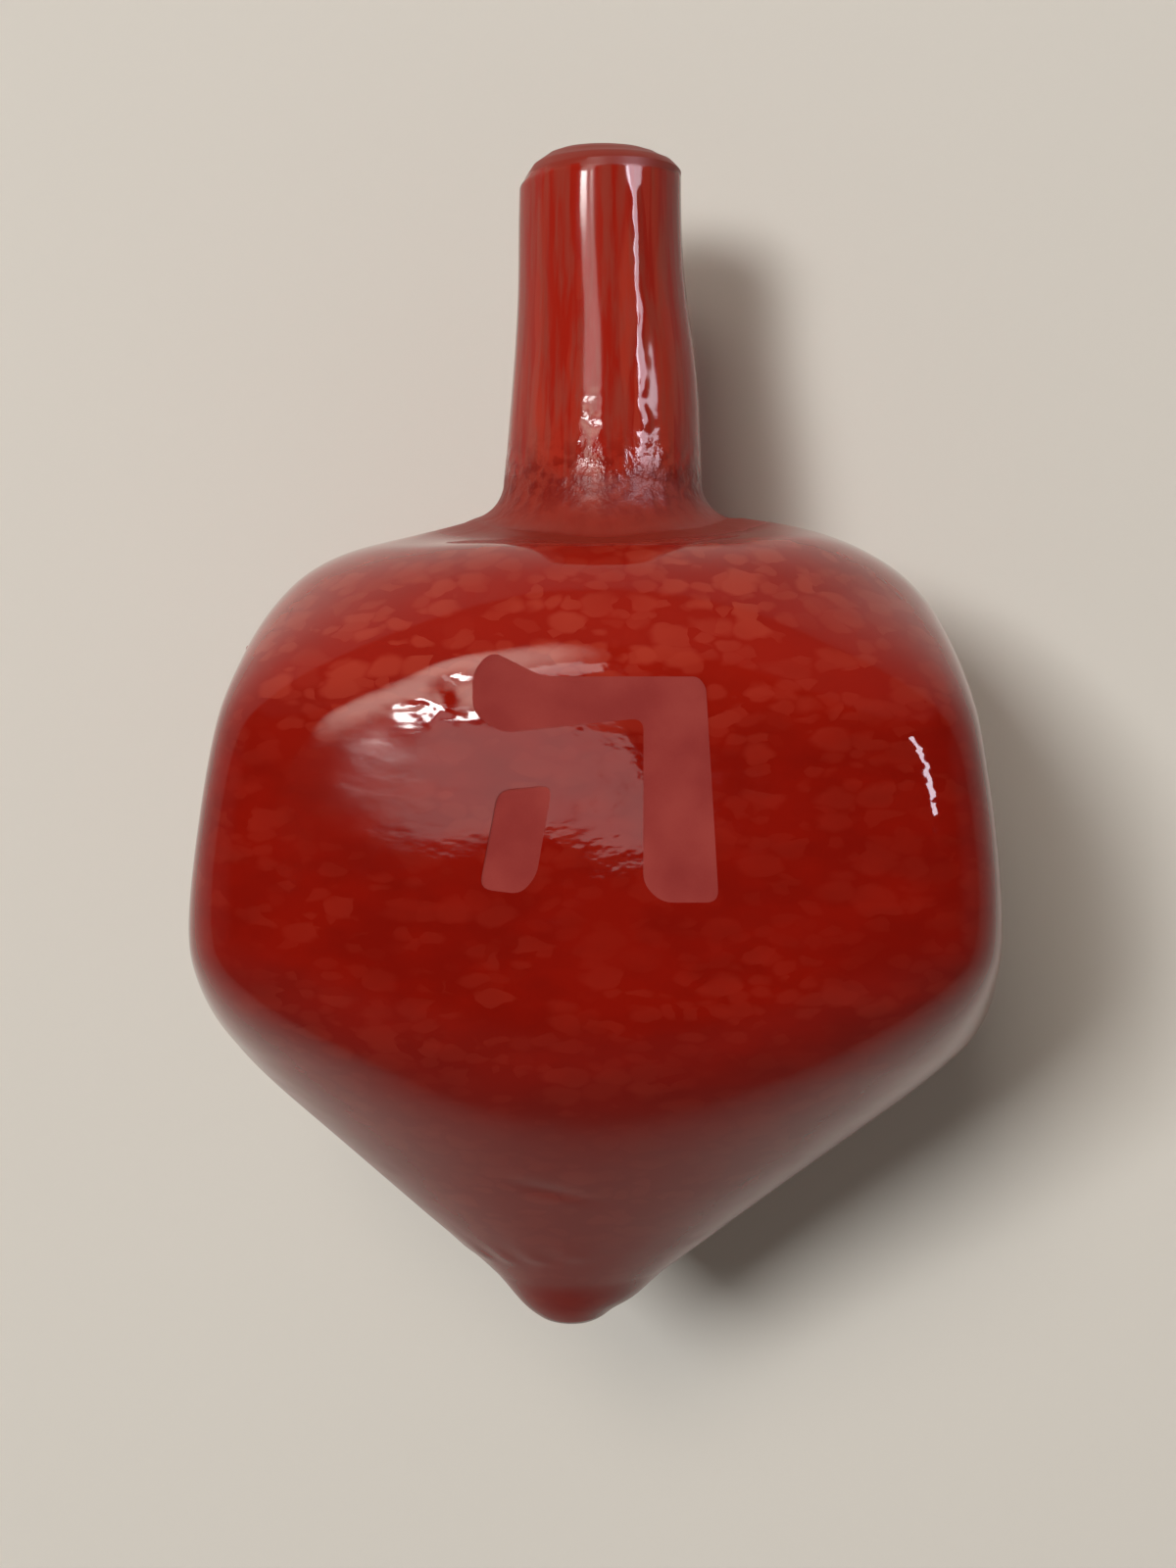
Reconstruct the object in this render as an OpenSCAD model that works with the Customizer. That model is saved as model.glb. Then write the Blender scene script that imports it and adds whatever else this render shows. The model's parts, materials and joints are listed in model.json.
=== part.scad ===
// Hand-made glass dreidel, lying on one of its four pressed sides.
// Each piece is drawn upright, with the spinning tip at the origin and the stem along Z.
// laid() then tips it back on to the side that carries the letter nun.

/* [Body] */
// Half the width across two opposite sides, at the height of the belly
side_w = 23.7; // [22.8:0.1:24.6]
// Lean of the pressed sides towards the stem, in degrees
side_lean = 7.5; // [6:0.5:9]
// Exponent of the blend between sides, where more is sharper
ridge = 10; // [8:1:14]
// How deep the paddle presses each side flat
press = 0.2; // [0.15:0.05:0.3]
// Angle between the axis and the cone under the belly, in degrees
cone_angle = 50; // [48:0.5:52]
// Radius where the cone and the shoulder would meet unrounded
belly_r = 42; // [40:0.5:43]
// Rounding of the belly
belly_round = 9.6; // [8:0.2:11]
// Radius at the turn of the shoulder
shoulder_r = 18; // [17:0.5:19]
// Rise from the unrounded belly to the turn of the shoulder
shoulder_rise = 15.7; // [15:0.1:16.4]
// Rounding of the shoulder
shoulder_round = 20; // [15:1:25]
// Thickness of the red glass over the clear core
wall = 3; // [2:0.25:3.5]

/* [Neck and stem] */
// Rise from the turn of the shoulder to the foot of the collar
neck_rise = 2.6; // [2.2:0.1:3]
// Height of the collar
collar_h = 2.4; // [2.2:0.1:3]
// How far the collar flares out from the stem
flare_w = 1.85; // [1.5:0.05:2.1]
// Radius of the stem where it meets the collar
stem_base_r = 6.35; // [6.1:0.05:6.6]
// Length of the stem above the collar
stem_len = 21; // [18:0.5:26]
// Radius of the straight grip at the top of the stem
stem_r = 5; // [4.4:0.1:5.6]
// Length of the straight grip
grip_len = 4.6; // [3:0.2:8]
// Height of the bevel ground round the stem end
bevel_h = 1.7; // [1:0.1:2.2]
// Radius of the flat left on the stem end
end_r = 2.7; // [2:0.1:3.5]
// Radius of the clear spigot inside the stem
spigot_r = 3.2; // [2.6:0.1:3.6]

/* [Tip] */
// Radius of the rounded spinning tip
tip_r = 3; // [2.6:0.1:3.2]
// Height of the seam between tip and body
seam_z = 4; // [3.6:0.1:4.4]
// Sideways lean of the tip
tip_lean = 1.5; // [0:0.1:2]

/* [Letters] */
// Height of a letter
letter_h = 14.6; // [12:0.2:16]
// Rise from the belly to the middle of the letters
letter_rise = 3; // [2:0.2:3.6]
// Depth of the letters below the pressed side
letter_depth = 0.25; // [0.15:0.05:0.4]
// Thickness of the frosted glass in each letter
frost = 0.3; // [0.2:0.05:0.5]

/* [Rest] */
// Rise from the belly to where the weight bears when it lies down
rest_rise = 0.5; // [-1:0.1:2]

/* [Hidden] */
$fn = 64;

// Angle of each side round the axis, as seen from the stem
GIMEL_SIDE = 0;
NUN_SIDE = 90;
SHIN_SIDE = 180;
HEI_SIDE = 270;

// Points round the body and steps along each stretch of its profile
SHELL_RING = 64;
SHELL_STEPS = 8;
CORE_RING = 40;
CORE_STEPS = 5;

// The tip's lean fades out at this height
lean_z = 20;
// Slack by which a cutting shape runs past the glass
past = 10;

apex_z = tip_r - tip_r / sin(cone_angle);
belly_z = apex_z + belly_r / tan(cone_angle);
shoulder_z = belly_z + shoulder_rise;
neck_z = shoulder_z + neck_rise;
neck_r = stem_base_r + flare_w;
stem_z = neck_z + collar_h;
flare_r = (flare_w ^ 2 + collar_h ^ 2) / (2 * flare_w);
height = stem_z + stem_len;
// The clear spigot fills the lower third of the stem
socket_len = stem_len / 3;
seam_r = (seam_z - apex_z) * tan(cone_angle);
grip_z = height - bevel_h - grip_len;
flat_d = (side_w + belly_z * tan(side_lean) - press) * cos(side_lean);
letter_z = belly_z + letter_rise;
rest_z = belly_z + rest_rise;

RED = "#8c0f0a";
DARK_RED = "#6e0a08";
CLEAR = "#d9e6e6";
FROSTED = "#a85048";

function unit(v) = v / norm(v);

function line(a, b, n) = [for (i = [0:n - 1]) a + (b - a) * i / n];

// Arc of radius r that rounds the corner b of the path a, b, c
function corner(a, b, c, r, n) =
    let (u = unit(a - b),
         v = unit(c - b),
         half = acos(u * v) / 2,
         mid = b + unit(u + v) * r / sin(half),
         from = b + u * r / tan(half) - mid,
         to = b + v * r / tan(half) - mid,
         a0 = atan2(from.y, from.x),
         a1 = atan2(to.y, to.x))
    [for (i = [0:n]) let (t = a0 + (a1 - a0) * i / n) mid + r * [cos(t), sin(t)]];

// Radius and height along the body, from the seam up to the neck, before its sides are pressed
function body_profile(n) =
    let (seam = [seam_r, seam_z],
         belly = [belly_r, belly_z],
         shoulder = [shoulder_r, shoulder_z],
         neck = [neck_r, neck_z],
         low = corner(seam, belly, shoulder, belly_round, 2 * n),
         high = corner(belly, shoulder, neck, shoulder_round, 2))
    concat(line(seam, low[0], n), low, line(low[2 * n], high[0], n / 2 + 1), high, [neck]);

// The same profile moved inwards by d
function inset_profile(p, d) =
    let (last = len(p) - 1)
    [for (i = [0:last])
        let (along = unit(p[min(i + 1, last)] - p[max(i - 1, 0)]))
        p[i] + d * [-along.y, along.x]];

function side_at(z) = side_w - (z - belly_z) * tan(side_lean);

// Distance up the slope of a pressed side, from the foot of its normal to height z
function slant(z) = z * cos(side_lean) - (side_at(z) - press) * sin(side_lean);

// Radius of the body at angle a: round profile r and four sides at w, blended
function pressed_r(r, w, a) =
    (r ^ -ridge + abs(cos(a) / w) ^ ridge + abs(sin(a) / w) ^ ridge) ^ (-1 / ridge);

function lean_at(z) = -tip_lean * min(1, max(0, (lean_z - z) / (lean_z - seam_z)));

// Solid from a profile, with its sides pressed in to d short of the outer ones
module pressed_solid(profile, d, ring) {
    rows = len(profile);
    points = [for (p = profile, k = [0:ring - 1])
        let (a = 360 * k / ring, r = pressed_r(p.x, side_at(p.y) - d, a))
        [r * cos(a) + lean_at(p.y), r * sin(a), p.y]];
    walls = [for (i = [0:rows - 2], k = [0:ring - 1])
        let (a = i * ring + k, b = i * ring + (k + 1) % ring, c = b + ring, d = a + ring)
        each [[a, d, c], [a, c, b]]];
    foot = [for (k = [0:ring - 1]) k];
    head = [for (k = [ring - 1:-1:0]) (rows - 1) * ring + k];
    polyhedron(points, concat([foot], walls, [head]));
}

// Frame of one pressed side: X out of the glass, Y to the right, Z up the slope
module on_side(side) {
    rotate([0, -side_lean, side])
        translate([flat_d, 0, 0])
            children();
}

// A 2D mark as a slab on a side, t thick, with its back d below the pressed side
module mark(side, d, t) {
    on_side(side)
        translate([-d, 0, slant(letter_z)])
            rotate([90, 0, 90])
                linear_extrude(t)
                    scale(letter_h)
                        children();
}

module pocket(side) {
    mark(side, letter_depth + frost, past)
        children();
}

module frosting(side) {
    color(FROSTED)
        mark(side, letter_depth + frost, frost)
            children();
}

// The letters are drawn one unit high about their middle
module nun_shape() {
    polygon([[-0.22, 0.5], [0.18, 0.5], [0.28, 0.4], [0.28, -0.5], [-0.32, -0.5],
             [-0.32, -0.27], [0.06, -0.27], [0.06, 0.27], [-0.22, 0.27]]);
}

module gimel_shape() {
    polygon([[-0.26, 0.5], [0.15, 0.5], [0.25, 0.4], [0.25, -0.5], [0.03, -0.5], [0.03, -0.26],
             [-0.18, -0.5], [-0.36, -0.38], [0.03, 0.03], [0.03, 0.27], [-0.26, 0.27]]);
}

module hei_shape() {
    polygon([[-0.47, 0.42], [-0.4, 0.5], [-0.2, 0.4], [0.4, 0.4], [0.43, 0.36], [0.48, -0.47],
             [0.26, -0.47], [0.19, -0.4], [0.19, 0.24], [-0.36, 0.18], [-0.47, 0.26]]);
}

module hei_leg_shape() {
    polygon([[-0.37, -0.04], [-0.16, -0.02], [-0.22, -0.37], [-0.28, -0.44], [-0.44, -0.42]]);
}

module shin_shape() {
    polygon([[-0.48, 0.5], [-0.27, 0.5], [-0.27, -0.27], [-0.1, -0.27], [-0.1, 0.42], [0.11, 0.42],
             [0.11, -0.27], [0.27, -0.27], [0.27, 0.5], [0.48, 0.5], [0.48, -0.38], [0.36, -0.5],
             [-0.36, -0.5], [-0.48, -0.38]]);
}

// Clear gather inside the body, with the spigot that holds collar and stem
module core() {
    profile = inset_profile(body_profile(CORE_STEPS), wall);
    foot = profile[len(profile) - 1].y - wall;
    color(CLEAR)
        union() {
            pressed_solid(profile, wall / cos(side_lean), CORE_RING);
            translate([0, 0, foot])
                cylinder(r = spigot_r, h = stem_z + socket_len - foot);
        }
}

// Red glass over the core, pressed flat on four sides and cut for the letters
module casing() {
    color(RED)
        difference() {
            pressed_solid(body_profile(SHELL_STEPS), 0, SHELL_RING);
            core();
            for (side = [GIMEL_SIDE, NUN_SIDE, SHIN_SIDE, HEI_SIDE])
                on_side(side)
                    translate([0, -height / 2, 0])
                        cube(height);
            pocket(GIMEL_SIDE)
                gimel_shape();
            pocket(NUN_SIDE)
                nun_shape();
            pocket(SHIN_SIDE)
                shin_shape();
            pocket(HEI_SIDE)
                hei_shape();
            pocket(HEI_SIDE)
                hei_leg_shape();
        }
}

// Flared ring between the shoulder and the stem
module collar() {
    color(RED)
        rotate_extrude()
            difference() {
                translate([spigot_r, neck_z])
                    square([neck_r - spigot_r, stem_z - neck_z]);
                translate([stem_base_r + flare_r, stem_z])
                    circle(r = flare_r);
            }
}

// Drawn rod with a straight grip, a ground bevel and a socket for the spigot
module stem() {
    color(RED)
        difference() {
            rotate_extrude()
                polygon([[0, stem_z], [stem_base_r, stem_z], [stem_r, grip_z],
                         [stem_r, grip_z + grip_len], [end_r, height], [0, height]]);
            translate([0, 0, stem_z - past])
                cylinder(r = spigot_r, h = past + socket_len);
        }
}

// Bead that the dreidel spins on
module tip() {
    touch_r = tip_r * cos(cone_angle);
    touch_z = tip_r * (1 - sin(cone_angle));
    color(DARK_RED)
        translate([-tip_lean, 0, 0])
            rotate_extrude()
                intersection() {
                    union() {
                        translate([0, tip_r])
                            circle(r = tip_r);
                        polygon([[0, touch_z], [touch_r, touch_z], [seam_r, seam_z], [0, seam_z]]);
                    }
                    square([seam_r, seam_z]);
                }
}

// Tips the upright dreidel back on to its nun side, with the bearing point at the origin
module laid() {
    translate([0, -slant(rest_z), flat_d])
        rotate([-90 - side_lean, 0, 0])
            children();
}

laid() core();
laid() casing();
laid() collar();
laid() stem();
laid() tip();
laid() frosting(NUN_SIDE) nun_shape();  // letter_nun
laid() frosting(GIMEL_SIDE) gimel_shape();  // letter_gimel
laid() frosting(HEI_SIDE) hei_shape();  // letter_hei
laid() frosting(HEI_SIDE) hei_leg_shape();  // letter_hei_leg
laid() frosting(SHIN_SIDE) shin_shape();  // letter_shin
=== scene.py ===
"""Looks of a hand-made red glass dreidel that lies on one of its four pressed sides.

Shapes are worked out upright, in millimetres, with the spinning tip at the origin and the stem along Z.
LAID then lays them down where the frame has them, in metres.
"""
import json
import math
from collections import namedtuple

import bmesh
import bpy
import numpy as np
from mathutils import Matrix, Quaternion, Vector, noise


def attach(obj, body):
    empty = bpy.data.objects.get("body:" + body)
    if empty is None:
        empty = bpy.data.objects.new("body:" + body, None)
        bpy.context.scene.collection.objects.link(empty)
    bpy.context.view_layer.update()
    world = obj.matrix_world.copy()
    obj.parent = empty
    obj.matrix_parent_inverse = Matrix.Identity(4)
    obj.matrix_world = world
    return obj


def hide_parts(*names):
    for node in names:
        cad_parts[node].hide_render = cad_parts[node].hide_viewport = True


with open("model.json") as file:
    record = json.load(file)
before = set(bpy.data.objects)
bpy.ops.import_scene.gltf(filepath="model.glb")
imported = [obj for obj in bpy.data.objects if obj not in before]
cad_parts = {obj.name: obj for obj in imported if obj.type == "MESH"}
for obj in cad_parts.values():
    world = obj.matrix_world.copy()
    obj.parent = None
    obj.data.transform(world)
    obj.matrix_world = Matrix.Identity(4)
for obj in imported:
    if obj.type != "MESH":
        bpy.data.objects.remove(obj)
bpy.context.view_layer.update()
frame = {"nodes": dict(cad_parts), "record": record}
mounts = {mount["name"]: mount for mount in frame["record"]["mounts"]}

MM = 0.001
TINY = 1e-9

# Body
SIDES = 4
SIDE_W = 23.7
SIDE_LEAN = math.radians(7.5)
# Power that rounds the ridges between the sides, and how deep the sides are pressed flat
RIDGE = 10
PRESS = 0.2
CONE_ANGLE = math.radians(50)
BELLY_R = 42
BELLY_ROUND = 9.6
SHOULDER_R = 18
SHOULDER_RISE = 15.7
SHOULDER_ROUND = 20
WALL = 3

# Neck and stem
NECK_RISE = 2.6
COLLAR_H = 2.4
FLARE_W = 1.85
STEM_BASE_R = 6.35
STEM_LEN = 21
STEM_R = mounts["stem_grip"]["dims"]["r_mm"]
GRIP_LEN = mounts["stem_grip"]["dims"]["length_mm"]
SPIGOT_R = 3.2
WAIST_ROUND = 80

# Bevelled end: how far in and up its lower edge is eased, and how far out and down its upper edge
BEVEL_H = 1.7
END_R = 2.7
LOW_EDGE_IN = 0.55
LOW_EDGE_UP = 0.75
HIGH_EDGE_OUT = 0.7
HIGH_EDGE_DOWN = 0.25
# Rise of the bevel's lower edge for each millimetre to the right and to the back
BEVEL_SLANT = (0.05, -0.1)

# Tip
TIP_R = 3
SEAM_Z = 4
TIP_LEAN = 1.5
LEAN_Z = 20

# Letters, with the angle of each side round the axis
LETTER_H = 14.6
LETTER_RISE = 3
LETTER_SINK = 0.1
LETTER_BACK = 0.55
GIMEL_SIDE = 0
NUN_SIDE = math.radians(90)
SHIN_SIDE = math.radians(180)
HEI_SIDE = math.radians(270)

APEX_Z = TIP_R - TIP_R / math.sin(CONE_ANGLE)
BELLY_Z = APEX_Z + BELLY_R / math.tan(CONE_ANGLE)
SHOULDER_Z = BELLY_Z + SHOULDER_RISE
NECK_Z = SHOULDER_Z + NECK_RISE
NECK_R = STEM_BASE_R + FLARE_W
STEM_Z = NECK_Z + COLLAR_H
FLARE_R = (FLARE_W**2 + COLLAR_H**2) / (2 * FLARE_W)
HEIGHT = STEM_Z + STEM_LEN
SOCKET_Z = STEM_Z + STEM_LEN / 3
SEAM_R = (SEAM_Z - APEX_Z) * math.tan(CONE_ANGLE)
GRIP_TOP_Z = HEIGHT - BEVEL_H
GRIP_Z = GRIP_TOP_Z - GRIP_LEN
FLAT_D = (SIDE_W + BELLY_Z * math.tan(SIDE_LEAN) - PRESS) * math.cos(SIDE_LEAN)
LETTER_Z = BELLY_Z + LETTER_RISE

# Fineness of the meshes
BODY_RING = 480
BODY_STEP = 0.4
STEM_RING = 240
STEM_STEP = 0.2
TIP_STEP = 0.12
CORNER_STEPS = 24
LETTER_STEPS = 5
SHARP_ANGLE = math.radians(35)
# Width over which the flat sides run into the rounded ridges
FLAT_BLEND = 0.5

# How far the shoulder dips beside the neck, over the middle of the front and back sides and over their ends
HOLLOW = 1.4
SHALLOW = 0.95
# Power that narrows the middle of the dip
HOLLOW_SHARP = 1.5
# Where the dip sets in round the neck, as the sine of the turn, and where it runs out from the neck's edge
HOLLOW_TURN = (0.15, 0.9)
HOLLOW_INNER = 0.6
HOLLOW_OUTER = 8
# How far below the corners of the shoulder and the neck the glass turns in
TURN_IN = 1

# Marks that the making left: how far each stands out, its middle and its reach across and up
Mark = namedtuple("Mark", "height x z wide high")
RIGHT_LUMP = Mark(0.8, 26, 23.5, 9, 6)
RIGHT_FIN = Mark(0.9, 26, 33, 9, 11)
LEFT_LUMP = Mark(0.25, -24, 27, 10, 9)
RIGHT_SHOULDER = Mark(0.55, 12.5, 51, 4.5, 3)
LEFT_SHOULDER = Mark(-0.15, -10, 52, 4, 3)
CREASE = Mark(-0.07, -2.7, 12.2, 2.2, 0.45)
DENT = Mark(-0.1, -7.6, 42.6, 1.6, 1.1)
CRINKLE = Mark(0.5, -9.3, 41.5, 2.2, 1.2)
RIM_CRINKLE = Mark(0.42, 19.5, 38.5, 2, 4)
SCUFF = Mark(0.2, -11.5, 37.5, 5, 3.5)
TIP_LEFT = Mark(0.4, -5.5, 1.3, 3, 2)
TIP_RIGHT = Mark(-0.5, 1.5, 0.8, 2, 1)
STEM_LEFT = Mark(0.35, -5, 72, 3.5, 6)
STEM_RIGHT = Mark(0.33, 6, 61.5, 3.5, 5)
CREASE_SLOPE = 0.25
# Middle and reach of the two right-hand swellings from front to back
LUMP_Y = 2
LUMP_DEEP = 9
FIN_Y = 6
FIN_DEEP = 7

# Waviness of the glass: the height of its swells, about how wide they are, and the seed of their noise,
# which starts that many shifts away
Swell = namedtuple("Swell", "height size seed")
NOISE_SHIFT = (17.3, 7.9, 31.7)
BROAD_SWELL = Swell(0.12, 15, 1)
FINE_SWELL = Swell(0.03, 6, 2)
FOLD_SWELL = Swell(2, 4, 3)
CRINKLE_SWELL = Swell(0.1, 1.6, 4)
STEM_SWELL = Swell(0.05, 3, 5)
STEM_FINE_SWELL = Swell(0.02, 1.1, 6)
WELT_PATH = Swell(4, 2.2, 7)
PATCH_SWELL = Swell(0.08, 0.8, 8)
BAND_SWELL = Swell(0.04, 0.7, 9)
WELT_SWELL = Swell(0.05, 0.9, 10)
CHILL_SWELL = Swell(1.2, 1.5, 12)

# Small folds round the seam with the tip
FOLDS = 19
FOLD_HEIGHT = 0.06
FOLD_RISE = 1
FOLD_REACH = 1.6

# Where marks set in: towards the front side, above the floor, and away from the joins
FRONT_Y = (-8, -14)
FLOOR_CLEAR = (0.3, 3)
JOIN_FADE = 0.8
STEM_FADE = 0.5
BEVEL_FADE = 0.6

# Bulge of the bead, highest at BEAD_Z and gone behind BEAD_BACK
BEAD_OUT = 0.35
BEAD_Z = 1
BEAD_BACK = 2

# The stem's swells are drawn out along it, and its crinkles are squeezed
DRAWN_OUT = 0.06
SQUEEZED = 1.5
# Welt up the stem, with its turn from the front and its width in degrees
WELT_HEIGHT = 0.09
WELT_TURN = 25
WELT_WIDE = 5
WELT_START = (56, 59)
WELT_END = (71, 74)
# Crinkled patches at the stem's foot, placed and measured across in degrees, and the band below them
FRONT_PATCH = Mark(1, -7, 58.2, 11, 2)
WELT_PATCH = Mark(0.8, 27, 57.8, 9, 1)
BAND_Z = 56.2
BAND_REACH = 1.2


def laid_matrix():
    """From the upright frame, in millimetres, to the frame that the dreidel lies in."""
    end = Vector(mounts["stem_end"]["pos_m"])
    axis = Vector(mounts["stem_end"]["axis"])
    side = Vector((1, 0, 0))
    turn = Matrix((side, axis.cross(side), axis)).transposed().to_4x4()
    return Matrix.Translation(end - axis * HEIGHT * MM) @ turn @ Matrix.Scale(MM, 4)


LAID = laid_matrix()


def laid(points):
    """The upright points, laid down."""
    turn = np.array(LAID)
    return points @ turn[:3, :3].T + turn[:3, 3]


def upright(points):
    """The laid points, stood up again."""
    turn = np.array(LAID.inverted())
    return points @ turn[:3, :3].T + turn[:3, 3]


def smooth(low, high, value):
    """0 below low, 1 above high, and a soft step between them."""
    t = np.clip((value - low) / (high - low), 0, 1)
    return t * t * (3 - 2 * t)


def hump(value, middle, width):
    """A soft hump, 1 high."""
    return np.exp(-(((value - middle) / width) ** 2))


def wander(points, size, seed):
    """Smooth noise from -1 to 1, whose swells are about size across."""
    shift = Vector([seed * step for step in NOISE_SHIFT])
    flat = points.reshape(-1, 3) / size
    values = [noise.noise(Vector(p) + shift) for p in flat]
    return np.array(values).reshape(points.shape[:-1])


def swelling(points, swell):
    """How far a swell lifts each point."""
    return swell.height * wander(points, swell.size, swell.seed)


# Profiles, as rows of radius and height


def arc(middle, radius, start, end, steps):
    turns = np.linspace(start, end, steps + 1)
    return np.stack([middle[0] + radius * np.cos(turns), middle[1] + radius * np.sin(turns)], 1)


def corner(a, b, c, radius):
    """Arc that rounds the corner b of the path a, b, c."""
    a, b, c = (np.array(p, float) for p in (a, b, c))
    u = (a - b) / np.linalg.norm(a - b)
    v = (c - b) / np.linalg.norm(c - b)
    half = math.acos(u @ v) / 2
    middle = b + (u + v) / np.linalg.norm(u + v) * radius / math.sin(half)
    start = b + u * radius / math.tan(half) - middle
    end = b + v * radius / math.tan(half) - middle
    first = math.atan2(start[1], start[0])
    turn = math.remainder(math.atan2(end[1], end[0]) - first, math.tau)
    return arc(middle, radius, first, first + turn, CORNER_STEPS)


def evenly(path, step):
    """The path with its points about a step apart."""
    path = np.array(path, float)
    along = np.concatenate([[0], np.cumsum(np.linalg.norm(np.diff(path, axis=0), axis=1))])
    places = np.linspace(0, along[-1], max(2, round(along[-1] / step)) + 1)
    return np.stack([np.interp(places, along, path[:, 0]), np.interp(places, along, path[:, 1])], 1)


def chain(step, *corners):
    """Straight runs between corners, each with its points about a step apart."""
    runs = [evenly(pair, step) for pair in zip(corners, corners[1:])]
    return np.concatenate([runs[0]] + [run[1:] for run in runs[1:]])


def body_profile():
    """From the seam up to the neck, before the sides are pressed."""
    seam = (SEAM_R, SEAM_Z)
    belly = (BELLY_R, BELLY_Z)
    shoulder = (SHOULDER_R, SHOULDER_Z)
    neck = (NECK_R, NECK_Z)
    low = corner(seam, belly, shoulder, BELLY_ROUND)
    high = corner(belly, shoulder, neck, SHOULDER_ROUND)
    return evenly(np.concatenate([[seam], low, high, [neck]]), BODY_STEP)


def inset(profile, depth):
    """The profile moved inwards."""
    along = np.gradient(profile, axis=0)
    along /= np.linalg.norm(along, axis=1, keepdims=True)
    return profile + depth * np.stack([-along[:, 1], along[:, 0]], 1)


def side_at(z):
    """Distance of a side from the axis at height z, before it is pressed."""
    return SIDE_W - (z - BELLY_Z) * math.tan(SIDE_LEAN)


def slant(z):
    """Distance up the slope of a pressed side, from the foot of its normal to height z."""
    return z * math.cos(SIDE_LEAN) - (side_at(z) - PRESS) * math.sin(SIDE_LEAN)


def lean_at(z):
    """How far the cone leans to the left at height z."""
    return -TIP_LEAN * np.clip((LEAN_Z - z) / (LEAN_Z - SEAM_Z), 0, 1)


# Rings of points round the axis


def turns_of(ring):
    return np.arange(ring) * math.tau / ring


def revolved(profile, ring, axis_x=0):
    """Rows of points round an upright axis at axis_x."""
    turns = turns_of(ring)
    radius = profile[:, :1]
    x = radius * np.cos(turns) + axis_x
    y = radius * np.sin(turns)
    return np.stack([x, y, np.repeat(profile[:, 1:], ring, 1)], 2)


def pressed(profile, depth):
    """Rows round the body, depth short of its pressed sides."""
    turns = turns_of(BODY_RING)
    radius, z = profile[:, :1], profile[:, 1:]
    width = side_at(z) - depth
    across, ahead = np.abs(np.cos(turns)), np.abs(np.sin(turns))
    rounded = (radius**-RIDGE + (across / width) ** RIDGE + (ahead / width) ** RIDGE) ** (-1 / RIDGE)
    flat = (FLAT_D - z * math.sin(SIDE_LEAN)) / math.cos(SIDE_LEAN) - depth
    flat = flat / np.maximum(across, ahead)
    share = np.clip(0.5 + 0.5 * (flat - rounded) / FLAT_BLEND, 0, 1)
    radius = flat * (1 - share) + rounded * share - FLAT_BLEND * share * (1 - share)
    x = radius * np.cos(turns) + lean_at(z)
    y = radius * np.sin(turns)
    return np.stack([x, y, np.repeat(z, BODY_RING, 1)], 2)


def hollow_at(radius, turn):
    """How far the shoulder dips beside the neck, over the front and back sides."""
    over_side = smooth(*HOLLOW_TURN, np.abs(np.sin(turn)))
    over_middle = (0.5 + 0.5 * np.cos(SIDES * turn)) ** HOLLOW_SHARP
    dip = over_side * (SHALLOW + (HOLLOW - SHALLOW) * over_middle)
    return dip * (1 - smooth(NECK_R + HOLLOW_INNER, NECK_R + HOLLOW_OUTER, radius))


def sunk(rows):
    """Rows of the neck, let down with the shoulder beside them."""
    outward = smooth(SPIGOT_R, NECK_R, np.hypot(rows[..., 0], rows[..., 1]))
    low = np.clip((STEM_Z - rows[..., 2]) / COLLAR_H, 0, 1)
    rows[..., 2] -= hollow_at(NECK_R, turns_of(BODY_RING)) * outward * low
    return rows


def normals_of(rows):
    """Outward normals of rows of points that run up the axis."""
    round_it = np.roll(rows, -1, 1) - np.roll(rows, 1, 1)
    up_it = np.gradient(rows, axis=0)
    outward = np.cross(round_it, up_it)
    return outward / np.maximum(np.linalg.norm(outward, axis=2, keepdims=True), TINY)


# Marks that the making left in the glass


def spot(mark, x, z):
    """How far a mark stands out at each place."""
    return mark.height * hump(x, mark.x, mark.wide) * hump(z, mark.z, mark.high)


def worked_glass(rows):
    """How far the outer glass of the body stands out from its even form."""
    x, y, z = np.moveaxis(rows, 2, 0)
    radius = np.hypot(x, y)
    turn = np.arctan2(y, x)
    front = smooth(*FRONT_Y, y)

    swell = swelling(rows, BROAD_SWELL) + swelling(rows, FINE_SWELL)
    lumps = spot(RIGHT_LUMP, x, z) * hump(y, LUMP_Y, LUMP_DEEP) + spot(LEFT_LUMP, x, z)
    lumps += spot(RIGHT_FIN, x, z) * hump(y, FIN_Y, FIN_DEEP)
    uneven = spot(RIGHT_SHOULDER, x, z) + spot(LEFT_SHOULDER, x, z)
    creased = spot(CREASE, x, z + CREASE_SLOPE * (x - CREASE.x)) * front
    folds = FOLD_HEIGHT * np.cos(turn * FOLDS + swelling(rows, FOLD_SWELL))
    folds *= hump(z, SEAM_Z + FOLD_RISE, FOLD_REACH)
    dented = (spot(DENT, x, z) + swelling(rows, CRINKLE_SWELL) * spot(CRINKLE, x, z)) * front

    lying = laid(rows)[..., 2] / MM
    clear = smooth(*FLOOR_CLEAR, lying)
    joined = smooth(SEAM_Z, SEAM_Z + JOIN_FADE, z) * smooth(NECK_R, NECK_R + JOIN_FADE, radius)
    return (swell + lumps + uneven + creased + folds + dented) * clear * joined + spot(TIP_LEFT, x, z)


def beaded_glass(rows):
    """How far the bead at the tip stands out from its even form."""
    x, y, z = np.moveaxis(rows, 2, 0)
    bulge = BEAD_OUT * (1 - smooth(BEAD_Z, SEAM_Z, z)) * smooth(0, BEAD_Z, z)
    bulge *= smooth(BEAD_BACK, -BEAD_BACK, y)
    return spot(TIP_LEFT, x, z) + spot(TIP_RIGHT, x, z) + bulge


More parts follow.
